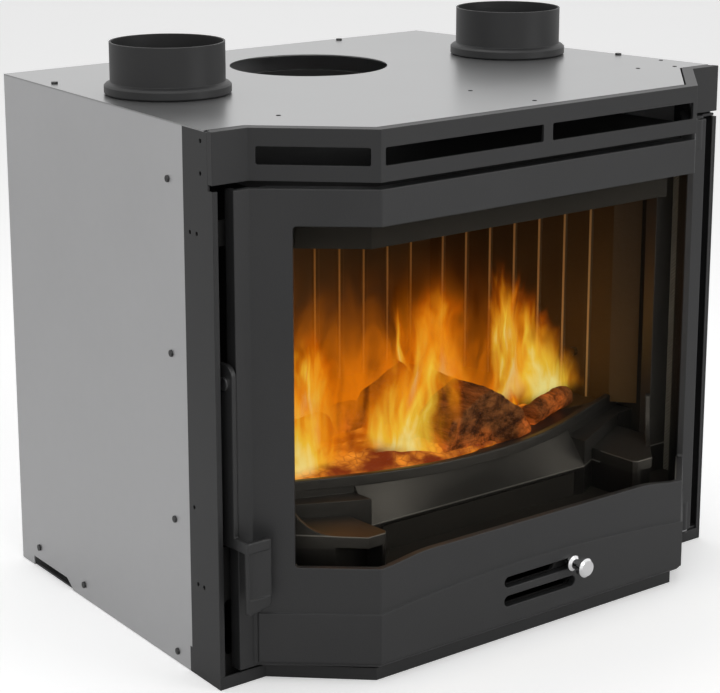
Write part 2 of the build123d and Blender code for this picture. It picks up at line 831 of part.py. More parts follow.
# Ash pan: a folded drawer under the hearth plate, whose front fills the opening under the ledge
with BuildPart() as ash_pan:
    with BuildSketch(Plane.XY.offset(floor_top)):
        with Locations((0, ledge_y + pan_depth / 2)):
            Rectangle(2 * pan_half, pan_depth)
    extrude(amount=pan_height)
    with BuildSketch(Plane.XY.offset(floor_top + pan_wall)):
        with Locations((0, ledge_y + pan_depth / 2)):
            Rectangle(2 * (pan_half - pan_wall), pan_depth - 2 * pan_wall)
    extrude(amount=pan_height, mode=Mode.SUBTRACT)
ash_pan.part.label = "ash_pan"
export_step(ash_pan.part, "parts/ash_pan.step")

# Corner block: a cast shelf on a leg, whose front edge sweeps up to the jamb
block_run = (jamb_inner - block_corner) / (jamb_front - block_front)
with BuildPart() as corner_block_right:
    play = running
    outline = [
        (block_inner, cheek_y(block_inner) - play), (block_inner, block_front + block_leg / 2),
        (block_inner + block_leg / 2, block_front), (block_corner, block_front),
        (jamb_inner - play, jamb_front), (jamb_inner - play, cheek_y(jamb_inner - play) - play),
    ]
    with BuildSketch(Plane.XY.offset(block_top - block_slab)):
        with BuildLine():
            Polyline(*outline, close=True)
        make_face()
    extrude(amount=block_slab)
    with BuildSketch(Plane.XY.offset(floor_top)):
        with BuildLine():
            Polyline(*outline, close=True)
        make_face()
        with BuildLine():
            Polyline(
                (block_inner + block_leg, block_front - 1), (jamb_inner, block_front - 1), (jamb_inner, jamb_front),
                (block_corner + block_setback * 2, block_front + 2 * block_setback),
                (block_inner + block_leg, block_front + 2 * block_setback), close=True,
            )
        make_face(mode=Mode.SUBTRACT)
    extrude(amount=block_top - block_slab - floor_top)
    along = Vector(jamb_inner - play - block_corner, jamb_front - block_front, 0)
    length = along.length
    fin_plane = Plane(
        origin=(block_corner, block_front, block_top), x_dir=along.normalized(),
        z_dir=Vector(along.Y, -along.X, 0).normalized(),
    )
    with BuildSketch(fin_plane):
        with BuildLine():
            Line((length - fin_radius, 0), (length, 0))
            Line((length, 0), (length, fin_radius))
            RadiusArc((length, fin_radius), (length - fin_radius, 0), fin_radius)
        make_face()
    extrude(amount=-fin_wall)
corner_block_right.part.label = "corner_block_right"
export_step(corner_block_right.part, "parts/corner_block_right.step")

with BuildPart() as corner_block_left:
    mirror(corner_block_right.part, about=Plane.YZ)
corner_block_left.part.label = "corner_block_left"
export_step(corner_block_left.part, "parts/corner_block_left.step")

# Jambs: upright bars at the mouth of the firebox
for side, name in ((-1, "front_jamb_left"), (1, "front_jamb_right")):
    with BuildPart() as jamb:
        with BuildSketch(Plane.XY.offset(floor_top)):
            with BuildLine():
                Polyline(
                    (side * jamb_inner, jamb_front), (side * tapered(box_half, jamb_front, box_plate), jamb_front),
                    (side * tapered(box_half, box_front, box_plate), box_front), (side * jamb_inner, box_front),
                    close=True,
                )
            make_face()
        extrude(amount=box_height - box_plate - floor_top)
    jamb.part.label = name
    export_step(jamb.part, f"parts/{name}.step")

# Air deflector: hangs from the crown behind the glass and washes it with air
with BuildPart() as air_deflector:
    with BuildSketch(Plane.XY.offset(deflector_low)):
        add(door_band(deflector_inset, deflector_inset + deflector_wall, jamb_front))
    extrude(amount=box_height - box_plate - deflector_low)
air_deflector.part.label = "air_deflector"
export_step(air_deflector.part, "parts/air_deflector.step")

# Side shields: slotted plates between the front strips and the firebox
for side, name in ((-1, "side_shield_left"), (1, "side_shield_right")):
    with BuildPart() as shield:
        with BuildSketch(Plane.XY.offset(black_sheet)):
            with BuildLine():
                far = shield_y + black_sheet
                Polyline(
                    (side * shield_inner, shield_y), (side * tapered(front_width / 2, shield_y, black_sheet), shield_y),
                    (side * tapered(front_width / 2, far, black_sheet), far), (side * shield_inner, far), close=True,
                )
            make_face()
        extrude(amount=shield_top - black_sheet)
        with BuildSketch(Plane.XZ.offset(-shield_y)):
            with Locations((side * shield_slot_x, (shield_slot_low + shield_slot_high) / 2)):
                SlotOverall(shield_slot_high - shield_slot_low, shield_slot_width, rotation=90)
        extrude(amount=-black_sheet, mode=Mode.SUBTRACT)
        gap_plate = shield.faces().sort_by(Axis.Z)[0].moved(Location((0, 0, gap_plate_low - black_sheet)))
        extrude(gap_plate, amount=gap_plate_height, dir=(0, 0, 1))
    shield.part.label = name
    export_step(shield.part, f"parts/{name}.step")

# Hinge brackets: plates on the right-hand strip, above and below the door
bracket_levels = {
    "hinge_bracket_lower": door_bottom - bracket_gap - bracket_wall,
    "hinge_bracket_upper": door_top + bracket_gap,
}
for name, level in bracket_levels.items():
    with BuildPart() as bracket:
        with BuildSketch(Plane.XY.offset(level)):
            with BuildLine():
                near, far = black_sheet + running, shield_y - running
                Polyline(
                    (hinge_x - boss_radius, hinge_y), (hinge_x - boss_radius, far),
                    (tapered(front_width / 2, far, black_sheet), far),
                    (tapered(front_width / 2, near, black_sheet), near), (hinge_x + boss_radius, near),
                    (hinge_x + boss_radius, hinge_y), close=True,
                )
            make_face()
            with Locations((hinge_x, hinge_y)):
                Circle(boss_radius)
                Circle(pin_radius, mode=Mode.SUBTRACT)
        extrude(amount=bracket_wall)
    bracket.part.label = name
    export_step(bracket.part, f"parts/{name}.step")

# Hinge pins: pressed into the brackets, with a head on the far side of each plate
with BuildPart() as hinge_pins:
    low = bracket_levels["hinge_bracket_lower"]
    with BuildSketch(Plane.XY.offset(low)):
        with Locations((hinge_x, hinge_y)):
            Circle(pin_radius)
    extrude(amount=bracket_wall + bracket_gap + pin_reach)
    with BuildSketch(Plane.XY.offset(door_top - pin_reach)):
        with Locations((hinge_x, hinge_y)):
            Circle(pin_radius)
    extrude(amount=pin_reach + bracket_gap + bracket_wall)
hinge_pins.part.label = "hinge_pins"
export_step(hinge_pins.part, "parts/hinge_pins.step")

# Door washer: carries the door's weight on the lower bracket
with BuildPart() as hinge_washer:
    with BuildSketch(Plane.XY.offset(door_bottom - bracket_gap)):
        with Locations((hinge_x, hinge_y)):
            Circle(boss_radius)
            Circle(pin_radius, mode=Mode.SUBTRACT)
    extrude(amount=bracket_gap)
hinge_washer.part.label = "hinge_washer"
export_step(hinge_washer.part, "parts/hinge_washer.step")

# Latch keeper: a block on the left-hand strip with the pin that the lever's notch closes on
notch_y = lever_front + lever_depth - keeper_seat + keeper_radius
with BuildPart() as latch_keeper:
    with BuildSketch(Plane.XY.offset(keeper_z - fold)):
        with BuildLine():
            near, far = notch_y - keeper_radius, notch_y + 2 * fold
            Polyline(
                (-tapered(front_width / 2, near, black_sheet), near), (-tapered(front_width / 2, far, black_sheet), far),
                (-lever_outer - keeper_seat, far), (-lever_outer - keeper_seat, near), close=True,
            )
        make_face()
    extrude(amount=2 * fold)
    with BuildSketch(Plane.YZ.offset(-lever_outer - keeper_seat)):
        with Locations((notch_y, keeper_z)):
            Circle(keeper_radius)
    extrude(amount=lever_wall + keeper_seat)
latch_keeper.part.label = "latch_keeper"
export_step(latch_keeper.part, "parts/latch_keeper.step")

# Door casting: a bent wall along the bay, with the window, the air slots and the hinge bosses
with BuildPart() as door_frame:
    with BuildSketch(Plane.XY.offset(door_bottom)):
        with BuildLine():
            inner = wing - door_wall
            Polyline(
                (-wing, door_rim_back), (-wing, door_face), *door_line(0, door_face), (wing, door_face),
                (wing, door_rim_back), (inner, door_rim_back), (inner, door_face + door_wall),
                *reversed(door_line(door_wall, door_face + door_wall)), (-inner, door_face + door_wall),
                (-inner, door_rim_back), close=True,
            )
        make_face()
    extrude(amount=door_top - door_bottom)
    fillet(door_frame.edges().filter_by(Axis.Z).group_by(Axis.Y)[0], radius=door_round)
    low_edges = door_frame.faces().sort_by(Axis.Z)[0].edges()
    outer_edges = [
        edge for edge in low_edges
        if edge.center().Y < 1 - door_depth or abs(edge.center().X) > door_line(1, edge.center().Y)[3][0]
    ]
    chamfer([edge for edge in outer_edges if edge.center().Y < door_face - 1], length=door_bevel * 0.6)
    with BuildSketch(Plane.XY.offset(door_bottom + door_bevel)):
        add(door_band(-relief, door_wall / 2, door_face - door_round))
    extrude(amount=relief_side - door_bottom - door_bevel)
    with BuildSketch(Plane.XZ.offset(door_depth)):
        with BuildLine():
            Line((-door_half, relief_side), (door_half, relief_side))
            ThreePointArc((-door_half, relief_side), (0, relief_crown), (door_half, relief_side))
        make_face()
    extrude(amount=relief)
    for level in (door_bottom, door_top - flange_wall):
        with BuildSketch(Plane.XY.offset(level)):
            add(door_band(door_wall / 2, seal_inset - running - seal_gap, door_face))
        extrude(amount=flange_wall)
    for side in (-1, 1):
        with BuildSketch(Plane.XY.offset(door_bottom)):
            with BuildLine():
                low, high = rope_x - rope / 2, rope_x + rope / 2 + 1
                run = (door_face + door_depth) / (door_root - door_half)
                wall_y = door_face + door_wall
                Polyline(
                    (side * low, seat), (side * low, wall_y - (door_root - low) * run),
                    (side * high, wall_y - (door_root - high) * run), (side * high, seat), close=True,
                )
            make_face()
        extrude(amount=door_top - door_bottom)
    for level in (door_bottom, door_top - boss_height):
        with BuildSketch(Plane.XY.offset(level)):
            with Locations((hinge_x, hinge_y)):
                Circle(boss_radius)
        extrude(amount=boss_height)
    for level in (door_bottom, door_top - pin_reach - running):
        with BuildSketch(Plane.XY.offset(level)):
            with Locations((hinge_x, hinge_y)):
                Circle(pin_radius + pin_clearance)
        extrude(amount=pin_reach + running, mode=Mode.SUBTRACT)
    door_length = hypot(door_root - door_half, door_face + door_depth)
    reach = (door_root - window_side) / (door_root - door_half) * door_length
    for side in (-1, 1):
        with BuildSketch(oblique_plane(door_line(0, door_face), side, (reach + door_length + door_wall) / 2)):
            with Locations((0, (window_low + window_high) / 2)):
                RectangleRounded(door_length - reach + door_wall, window_high - window_low, window_round)
        extrude(amount=2 * door_wall, both=True, mode=Mode.SUBTRACT)
    with BuildSketch(Plane.XZ.offset(door_depth)):
        with BuildLine():
            corner, crown = (door_half, window_low), (window_crown_half, window_crown)
            Polyline((-door_half, window_low), (-door_half, window_high), (door_half, window_high), corner)
            Spline(corner, crown, tangents=((-1, 0), (-1, 0)))
            Line(crown, (-window_crown_half, window_crown))
            Spline((-window_crown_half, window_crown), (-door_half, window_low), tangents=((-1, 0), (-1, 0)))
        make_face()
    extrude(amount=2 * door_wall, both=True, mode=Mode.SUBTRACT)
    with BuildSketch(Plane.XZ.offset(door_depth)):
        with Locations((0, slot_high_z), (0, slot_low_z)):
            SlotOverall(slot_length, slot_height)
    extrude(amount=2 * door_wall, both=True, mode=Mode.SUBTRACT)
    with BuildSketch(Plane.YZ.offset(-wing)):
        with Locations((pivot_y, pivot_z)):
            Circle(pivot_radius)
    extrude(amount=door_wall, mode=Mode.SUBTRACT)
door_frame.part.label = "door_frame"
export_step(door_frame.part, "parts/door_frame.step")

# Glass gasket, glass and clips: strips along the inside of the door, each against the one before
gasket_back = door_wall + gasket_wall
glass_back = gasket_back + glass_wall
glass_low = window_low - glass_overlap
glass_high = window_high + glass_overlap
glass_end = door_face - (door_root - window_side) * (door_face + door_depth) / (door_root - door_half) + door_wall + 7
with BuildPart() as glass_gasket:
    for level in (glass_low, glass_high - gasket_width):
        with BuildSketch(Plane.XY.offset(level)):
            add(door_band(door_wall, gasket_back, glass_end))
        extrude(amount=gasket_width)
glass_gasket.part.label = "glass_gasket"
export_step(glass_gasket.part, "parts/glass_gasket.step")

with BuildPart() as door_glass:
    with BuildSketch(Plane.XY.offset(glass_low)):
        add(door_band(gasket_back, glass_back, glass_end))
    extrude(amount=glass_high - glass_low)
door_glass.part.label = "door_glass"
export_step(door_glass.part, "parts/door_glass.step")

with BuildPart() as glass_clips:
    for x in (-clip_x, 0, clip_x):
        for level in (glass_low - clip_reach, glass_high - clip_reach / 2):
            with BuildSketch(Plane.XZ.offset(door_depth - glass_back)):
                with Locations((x, level)):
                    Rectangle(clip_width, 1.5 * clip_reach, align=(Align.CENTER, Align.MIN))
            extrude(amount=-clip_wall)
        for level in (glass_low - clip_reach, glass_high + running):
            with BuildSketch(Plane.XZ.offset(door_depth - door_wall)):
                with Locations((x, level)):
                    Rectangle(clip_width, clip_reach - running, align=(Align.CENTER, Align.MIN))
            extrude(amount=-(glass_back - door_wall))
glass_clips.part.label = "glass_clips"
export_step(glass_clips.part, "parts/glass_clips.step")

# Rope seal round the door's inside
with BuildPart() as door_rope:
    for level in (door_bottom + flange_wall, door_top - flange_wall - rope):
        with BuildSketch(Plane.XY.offset(level)):
            add(door_band(door_wall, door_wall + rope, 0))
        extrude(amount=rope)
    with BuildSketch(Plane.XY.offset(door_bottom + flange_wall)):
        for side in (-1, 1):
            with Locations((side * rope_x, seat)):
                Rectangle(rope, rope, align=(Align.CENTER, Align.MIN))
    extrude(amount=door_top - door_bottom - 2 * flange_wall)
    add(door_frame.part, mode=Mode.SUBTRACT)
door_rope.part.label = "door_rope"
export_step(door_rope.part, "parts/door_rope.step")

# Air register: a slide behind the two slots, open when its knob stands at the right
with BuildPart() as air_register:
    with BuildSketch(Plane.XZ.offset(door_depth - door_wall - register_gap)):
        with Locations((register_left, air_window_low)):
            Rectangle(register_right - register_left, air_window_high - air_window_low, align=(Align.MIN, Align.MIN))
        with Locations((0, slot_low_z)):
            SlotOverall(slot_length, slot_height, mode=Mode.SUBTRACT)
        with Locations((-slot_height, slot_high_z)):
            SlotOverall(slot_length - 2 * slot_height, slot_height, mode=Mode.SUBTRACT)
    extrude(amount=-register_wall)
air_register.part.label = "air_register"
export_step(air_register.part, "parts/air_register.step")

with BuildPart() as register_knob:
    face = -door_depth - relief - running
    with BuildSketch(Plane.XY):
        with BuildLine():
            Polyline(
                (0, -door_depth + door_wall + register_gap), (knob_stem, -door_depth + door_wall + register_gap),
                (knob_stem, face), (knob_back_radius, face), (knob_back_radius, face - 0.15 * knob_reach),
                (1.4 * knob_stem, face - 0.25 * knob_reach), (1.4 * knob_stem, face - 0.55 * knob_reach),
                (knob_front_radius, face - 0.7 * knob_reach), (knob_front_radius, face - 0.9 * knob_reach),
                (0.8 * knob_front_radius, face - knob_reach), (0, face - knob_reach), close=True,
            )
        make_face()
    revolve(axis=Axis.Y)
register_knob.part = register_knob.part.moved(Location((knob_x, 0, slot_high_z)))
register_knob.part.label = "register_knob"
export_step(register_knob.part, "parts/register_knob.step")

# Door lever: an upright plate beside the door, whose arm carries the finger paddle forwards
with BuildPart() as door_lever:
    with BuildSketch(Plane.YZ.offset(-lever_outer)):
        with BuildLine():
            Polyline(
                (lever_front, lever_elbow), (lever_front, lever_top), (lever_front + lever_depth, lever_top),
                (lever_front + lever_depth, lever_low), (paddle_front, lever_low), (paddle_front, paddle_top),
                (lever_front, paddle_top), close=True,
            )
        make_face()
        fillet(vertices().sort_by(Axis.Y)[-2:].sort_by(Axis.X)[:1], radius=lever_round)
        with Locations((notch_y, keeper_z)):
            Circle(keeper_radius + running, mode=Mode.SUBTRACT)
        with Locations((pivot_y, pivot_z)):
            Circle(pivot_radius + pin_clearance, mode=Mode.SUBTRACT)
    extrude(amount=lever_wall)
    with BuildSketch(Plane.XZ.offset(-paddle_front)):
        with BuildLine():
            Polyline(
                (-lever_outer, paddle_low), (-lever_outer, paddle_top), (paddle_width - lever_outer, paddle_top),
                (paddle_width - lever_outer, paddle_low + paddle_skew), close=True,
            )
        make_face()
        fillet(vertices(), radius=3)
    extrude(amount=paddle_wall)
    fillet(door_lever.faces().sort_by(Axis.Y)[0].edges(), radius=1.5)
    with BuildSketch(Plane.XY.offset(paddle_low + 3 * paddle_skew)):
        with Locations((paddle_width / 2 - lever_outer, paddle_front - paddle_wall - dimple_radius + dimple_depth)):
            Circle(dimple_radius)
    extrude(amount=paddle_top - paddle_low - 5 * paddle_skew, mode=Mode.SUBTRACT)
door_lever.part.label = "door_lever"
export_step(door_lever.part, "parts/door_lever.step")

with BuildPart() as lever_pivot:
    with BuildSketch(Plane.YZ.offset(-lever_outer - 2)):
        with Locations((pivot_y, pivot_z)):
            Circle(pivot_head)
    extrude(amount=2 - pin_clearance)
    with BuildSketch(Plane.YZ.offset(-lever_outer - 2)):
        with Locations((pivot_y, pivot_z)):
            Circle(pivot_radius)
    extrude(amount=lever_outer + 2 - wing + door_wall)
lever_pivot.part.label = "lever_pivot"
export_step(lever_pivot.part, "parts/lever_pivot.step")

# Side screws: button heads on the two side panels
with BuildPart() as side_screws_right:
    with BuildSketch(side_plane(front_width / 2)):
        for y, z in side_screw_spots:
            with Locations((y * taper_run, z)):
                Circle(screw_radius)
    extrude(amount=screw_head)
    fillet(side_screws_right.faces().filter_by(GeomType.PLANE).group_by(Axis.X)[-1].edges(), radius=screw_head / 2)
side_screws_right.part.label = "side_screws_right"
export_step(side_screws_right.part, "parts/side_screws_right.step")

with BuildPart() as side_screws_left:
    mirror(side_screws_right.part, about=Plane.YZ)
side_screws_left.part.label = "side_screws_left"
export_step(side_screws_left.part, "parts/side_screws_left.step")

# Top screws: button heads on the top panel
with BuildPart() as top_screws:
    with BuildSketch(Plane.XY.offset(casing_height)):
        with Locations(*top_screw_spots):
            Circle(screw_radius)
    extrude(amount=screw_head)
top_screws.part.label = "top_screws"
export_step(top_screws.part, "parts/top_screws.step")

# Firewood: a split log that points out at the door, with a branch and a round log beside it
with BuildPart() as firewood:
    wood_y = rim_wall + 2 * log_gap
    with BuildSketch(Plane.XZ.offset(-wood_y)):
        with BuildLine():
            left, right = split_x - split_width / 2, split_x + split_width / 2
            Polyline(
                (left, hearth_top), (right, hearth_top), (right - 0.15 * split_width, hearth_top + 0.5 * split_height),
                (split_x, hearth_top + split_height), (left + 0.1 * split_width, hearth_top + 0.6 * split_height),
                close=True,
            )
        make_face()
        fillet(vertices(), radius=0.1 * split_height)
    extrude(amount=-split_length)
    branch_start = (right + log_gap, wood_y + 2 * log_gap, hearth_top + branch_radius)
    with BuildSketch(Plane(origin=branch_start, z_dir=(1, bow_slope, 0))):
        Circle(branch_radius)
    extrude(amount=branch_length)
    log_end = (left - log_gap, wood_y + log_length, hearth_top + log_radius)
    with BuildSketch(Plane(origin=log_end, z_dir=(-1, -bow_slope / 2, 0))):
        Circle(log_radius)
    extrude(amount=log_length)
firewood.part.label = "firewood"
export_step(firewood.part, "parts/firewood.step")
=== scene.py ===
from math import pi, radians

import bpy
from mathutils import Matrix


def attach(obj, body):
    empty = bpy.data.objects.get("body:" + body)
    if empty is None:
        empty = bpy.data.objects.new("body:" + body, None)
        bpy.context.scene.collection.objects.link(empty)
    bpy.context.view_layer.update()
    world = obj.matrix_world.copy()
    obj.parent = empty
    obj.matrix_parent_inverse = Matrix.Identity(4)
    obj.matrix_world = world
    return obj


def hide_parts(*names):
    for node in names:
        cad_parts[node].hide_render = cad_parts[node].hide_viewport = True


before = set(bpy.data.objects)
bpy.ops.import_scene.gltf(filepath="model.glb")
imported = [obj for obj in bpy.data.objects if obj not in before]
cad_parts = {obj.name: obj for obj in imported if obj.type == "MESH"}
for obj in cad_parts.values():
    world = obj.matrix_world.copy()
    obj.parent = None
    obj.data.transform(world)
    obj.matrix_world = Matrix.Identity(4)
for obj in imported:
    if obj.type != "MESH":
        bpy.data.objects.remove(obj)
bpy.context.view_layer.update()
scene = bpy.context.scene
scene.view_settings.view_transform = "Standard"

# Camera: a long lens at chest height, to the left of the insert, looking down fifteen degrees on the
# bay door. The lens and place follow from the perspective of the casing's edges.
bpy.ops.object.camera_add(
    location=(-1.56588, -1.68116, 0.90704), rotation=(radians(75), 0, radians(-39.7))
)
camera = bpy.context.object
camera.data.sensor_fit = "HORIZONTAL"
camera.data.sensor_width = 36
camera.data.lens = 113.115
camera.data.clip_start = 0.05
scene.camera = camera

# Studio: an even white surround, which the camera and glossy surfaces see at full strength, and three
# large soft lamps: above the left front corner, low at the right front, and over the top panel.
world = bpy.data.worlds.new("white studio")
scene.world = world
world.use_nodes = True
surround = world.node_tree.nodes["Background"]
surround.inputs["Color"].default_value = (1, 1, 1, 1)
rays = world.node_tree.nodes.new("ShaderNodeLightPath")
seen = world.node_tree.nodes.new("ShaderNodeMath")
seen.operation = "MAXIMUM"
world.node_tree.links.new(rays.outputs["Is Camera Ray"], seen.inputs[0])
world.node_tree.links.new(rays.outputs["Is Glossy Ray"], seen.inputs[1])
level = world.node_tree.nodes.new("ShaderNodeMapRange")
level.inputs["To Min"].default_value = 0.5
level.inputs["To Max"].default_value = 1.0
world.node_tree.links.new(seen.outputs[0], level.inputs["Value"])
world.node_tree.links.new(level.outputs["Result"], surround.inputs["Strength"])
for place, turn, size, power in (
    ((-1.2, -1.4, 2.2), (42, 0, -40), 1.6, 14),
    ((0.9, -2.2, 1.3), (66, 0, 24), 1.2, 12),
    ((0.0, 0.6, 2.4), (-8, 0, 0), 1.6, 14),
):
    bpy.ops.object.light_add(type="AREA", location=place, rotation=[radians(a) for a in turn])
    bpy.context.object.data.size = size
    bpy.context.object.data.energy = power


class Wave:
    """A shader socket that takes part in Python sums."""

    def __init__(self, tree, socket):
        self.tree = tree
        self.socket = socket

    def make(self, kind, settings=None, out=0, **values):
        """A node of this kind with its settings and its sockets' values or links."""
        node = self.tree.nodes.new(kind)
        for name, value in (settings or {}).items():
            if name == "stops":
                ramp = node.color_ramp
                while len(ramp.elements) < len(value):
                    ramp.elements.new(0.5)
                for element, (place, colour) in zip(ramp.elements, value):
                    element.position = place
                    element.color = colour
            else:
                setattr(node, name, value)
        for name, value in values.items():
            key = int(name[1:]) if name[0] == "i" and name[1:].isdigit() else name.replace("_", " ")
            if isinstance(value, Wave):
                self.tree.links.new(value.socket, node.inputs[key])
            else:
                node.inputs[key].default_value = value
        return Wave(self.tree, node.outputs[out])

    def maths(self, operation, *values):
        """The result of one Math node."""
        sockets = {f"i{i}": value for i, value in enumerate(values)}
        return self.make("ShaderNodeMath", {"operation": operation}, **sockets)

    def __add__(self, other):
        return self.maths("ADD", self, other)

    __radd__ = __add__

    def __sub__(self, other):
        return self.maths("SUBTRACT", self, other)

    def __rsub__(self, other):
        return self.maths("SUBTRACT", other, self)

    def __mul__(self, other):
        return self.maths("MULTIPLY", self, other)

    __rmul__ = __mul__

    def step(self, low, high):
        """A smooth rise from 0 to 1 between low and high."""
        smooth = {"interpolation_type": "SMOOTHSTEP"}
        return self.make("ShaderNodeMapRange", smooth, Value=self, From_Min=low, From_Max=high)

    def band(self, low, high, soft):
        """1 between low and high, with soft ends inside them, and 0 elsewhere."""
        return self.step(low, low + soft) * (1 - self.step(high - soft, high))

    def size(self):
        """The value without its sign."""
        return self.maths("ABSOLUTE", self)

    def part(self, axis):
        """One coordinate of a place: 0 is X, 1 is Y and 2 is Z."""
        return self.make("ShaderNodeSeparateXYZ", Vector=self, out=axis)

    def noise(self, scale, detail, **sockets):
        """A cloudy pattern from 0 to 1 over these places."""
        return self.make("ShaderNodeTexNoise", Vector=self, Scale=scale, Detail=detail, **sockets)

    def bump(self, strength, distance, **sockets):
        """A normal that tilts with this height."""
        return self.make("ShaderNodeBump", Height=self, Strength=strength, Distance=distance, **sockets)

    def tint(self, one, two):
        """A colour between one, where this is 0, and two, where it is 1."""
        return self.make("ShaderNodeMix", {"data_type": "RGBA"}, out=2, i0=self, i6=one, i7=two)


def finish(name, metallic=0.0, **sockets):
    """A new material: its name, its main shader and the object's own coordinates."""
    material = bpy.data.materials.new(name)
    material.use_nodes = True
    shader = material.node_tree.nodes["Principled BSDF"]
    shader.inputs["Metallic"].default_value = metallic
    for key, value in sockets.items():
        shader.inputs[key.replace("_", " ")].default_value = value
    place = material.node_tree.nodes.new("ShaderNodeTexCoord")
    return material, shader, Wave(material.node_tree, place.outputs["Object"])


def feed(shader, wave, name):
    """Links a result to one of the main shader's sockets."""
    wave.tree.links.new(wave.socket, shader.inputs[name])


def dress(material, *nodes):
    """Gives CAD pieces their finish."""
    for node in nodes:
        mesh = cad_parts[node].data
        mesh.materials.clear()
        mesh.materials.append(material)


# Floor: a plain pale sheet far larger than the insert. It shows white to the camera where it is lit,
# and keeps the soft shadow round the casing's foot.
bpy.ops.mesh.primitive_plane_add(size=14, location=(0, 0, -0.0005))
floor = bpy.context.object
floor.name = "floor"
paper, shader, at = finish("pale floor", Base_Color=(0.86, 0.86, 0.86, 1), Roughness=0.9)
rays = at.make("ShaderNodeLightPath")
shader.inputs["Emission Color"].default_value = (1, 1, 1, 1)
feed(shader, rays * 0.34, "Emission Strength")
floor.data.materials.append(paper)

# Side and back panels: galvanised sheet with a faint crystal pattern, folded at the edges and
# screwed. Its cloudy dullness makes it look almost even.
zinc, shader, at = finish("galvanised side sheet", metallic=0.85)
crystals = at.make("ShaderNodeTexVoronoi", Vector=at, Scale=70.0, out=0)
cloud = at.noise(9.0, 4.0)
shade = crystals * 0.08 + cloud * 0.3
feed(shader, shade.tint((0.46, 0.46, 0.465, 1), (0.54, 0.54, 0.545, 1)), "Base Color")
feed(shader, cloud * 0.1 + 0.42, "Roughness")
feed(shader, (cloud + crystals * 0.1).bump(0.04, 0.001), "Normal")
dress(zinc, "side_panel_left", "side_panel_right", "back_panel")

# Top panel: the same sheet, cleaner and smoother, so that the collars mirror in it softly. It is
# screwed down behind the hood's rim.
bright_zinc, shader, at = finish("galvanised top sheet", metallic=0.9)
cloud = at.noise(6.0, 3.0)
grain = at.noise(400.0, 2.0)
feed(shader, cloud.tint((0.325, 0.327, 0.329, 1), (0.365, 0.367, 0.369, 1)), "Base Color")
feed(shader, cloud * 0.08 + 0.27, "Roughness")
feed(shader, grain.bump(0.05, 0.0003), "Normal")
dress(bright_zinc, "top_panel")

# Hood, front strips, collars, brackets and floor sheet: folded steel under matt black heat-proof
# paint, with a fine powdery grain and edges that catch the light.
sheet_black, shader, at = finish("black painted sheet", Specular_IOR_Level=0.4)
powder = at.noise(900.0, 3.0)
cloud = at.noise(7.0, 3.0)
feed(shader, cloud.tint((0.012, 0.012, 0.0125, 1), (0.02, 0.02, 0.0205, 1)), "Base Color")
feed(shader, cloud * 0.12 + 0.42, "Roughness")
edge = at.make("ShaderNodeBevel", {"samples": 4}, Radius=0.0012)
feed(shader, powder.bump(0.12, 0.0004, Normal=edge), "Normal")
dress(
    sheet_black, "front_hood", "front_strip_left", "front_strip_right", "hot_air_collar_left",
    "hot_air_collar_right", "base_plate", "hinge_bracket_lower", "hinge_bracket_upper",
)

# Door casting and its lever: iron under the same black paint, with the sandy skin of the mould and
# softly rounded edges.
cast_black, shader, at = finish("black painted casting", Specular_IOR_Level=0.45)
sand = at.noise(650.0, 4.0)
cloud = at.noise(11.0, 3.0)
feed(shader, cloud.tint((0.012, 0.012, 0.0125, 1), (0.02, 0.02, 0.0205, 1)), "Base Color")
feed(shader, cloud * 0.15 + 0.38, "Roughness")
edge = at.make("ShaderNodeBevel", {"samples": 6}, Radius=0.002)
feed(shader, sand.bump(0.25, 0.0005, Normal=edge), "Normal")
dress(cast_black, "door_frame", "door_lever")

# Shell, apron, deflector and the plates beside the door: bare black plate, sooty and dull, seen only
# through gaps and the glass.
soot, shader, at = finish("sooty plate", Specular_IOR_Level=0.2)
cloud = at.noise(14.0, 5.0)
feed(shader, cloud.tint((0.012, 0.012, 0.012, 1), (0.026, 0.025, 0.024, 1)), "Base Color")
feed(shader, cloud * 0.2 + 0.6, "Roughness")
dress(
    soot, "support_rails", "firebox_body", "firebox_floor", "bay_apron", "firebox_crown",
    "flue_spigot", "hearth_bearers", "ash_pan", "air_deflector", "side_shield_left",
    "side_shield_right", "latch_keeper", "air_register",
)

# Hearth castings in the bay: dark iron with the skin of the mould, with painted shade below the
# ledge's top and a painted highlight along the front edges of the ledge and of the corner blocks.
hearth_iron, shader, at = finish("hearth casting", Specular_IOR_Level=0.5)
sand = at.noise(500.0, 4.0)
cloud = at.noise(18.0, 4.0)
height = at.part(2)
facing = at.make("ShaderNodeNewGeometry", out=1)
upright = 1 - facing.part(2).step(0.3, 0.6)
depth = at.part(1)
ledge_top = 0.129
block_top = 0.142
behind = depth.step(-0.001, 0.0)
# Painted highlight: a thin pale line along the ledge's front edge and the corner blocks' top edges,
# where light catches them.
ledge_highlight = height.band(ledge_top - 0.0014, ledge_top + 0.0006, 0.0004) * behind
block_highlight = height.band(block_top - 0.0012, block_top + 0.0006, 0.0004) * (1 - behind)
painted_edge_highlight = (ledge_highlight + block_highlight) * upright
# Painted shade: the iron below the ledge's top is darker.
shade = height.step(ledge_top - 0.0025, ledge_top + 0.0005)
iron = cloud.tint((0.014, 0.0145, 0.015, 1), (0.028, 0.0285, 0.03, 1))
iron = shade.tint((0.004, 0.004, 0.0045, 1), iron)
feed(shader, painted_edge_highlight.tint(iron, (0.2, 0.2, 0.2, 1)), "Base Color")
feed(shader, cloud * 0.2 + 0.32, "Roughness")
edge = at.make("ShaderNodeBevel", {"samples": 4}, Radius=0.0015)
feed(shader, sand.bump(0.2, 0.0005, Normal=edge), "Normal")
dress(
    hearth_iron, "hearth_front", "log_retainer", "corner_block_left", "corner_block_right",
    "front_jamb_left", "front_jamb_right", "grate",
)
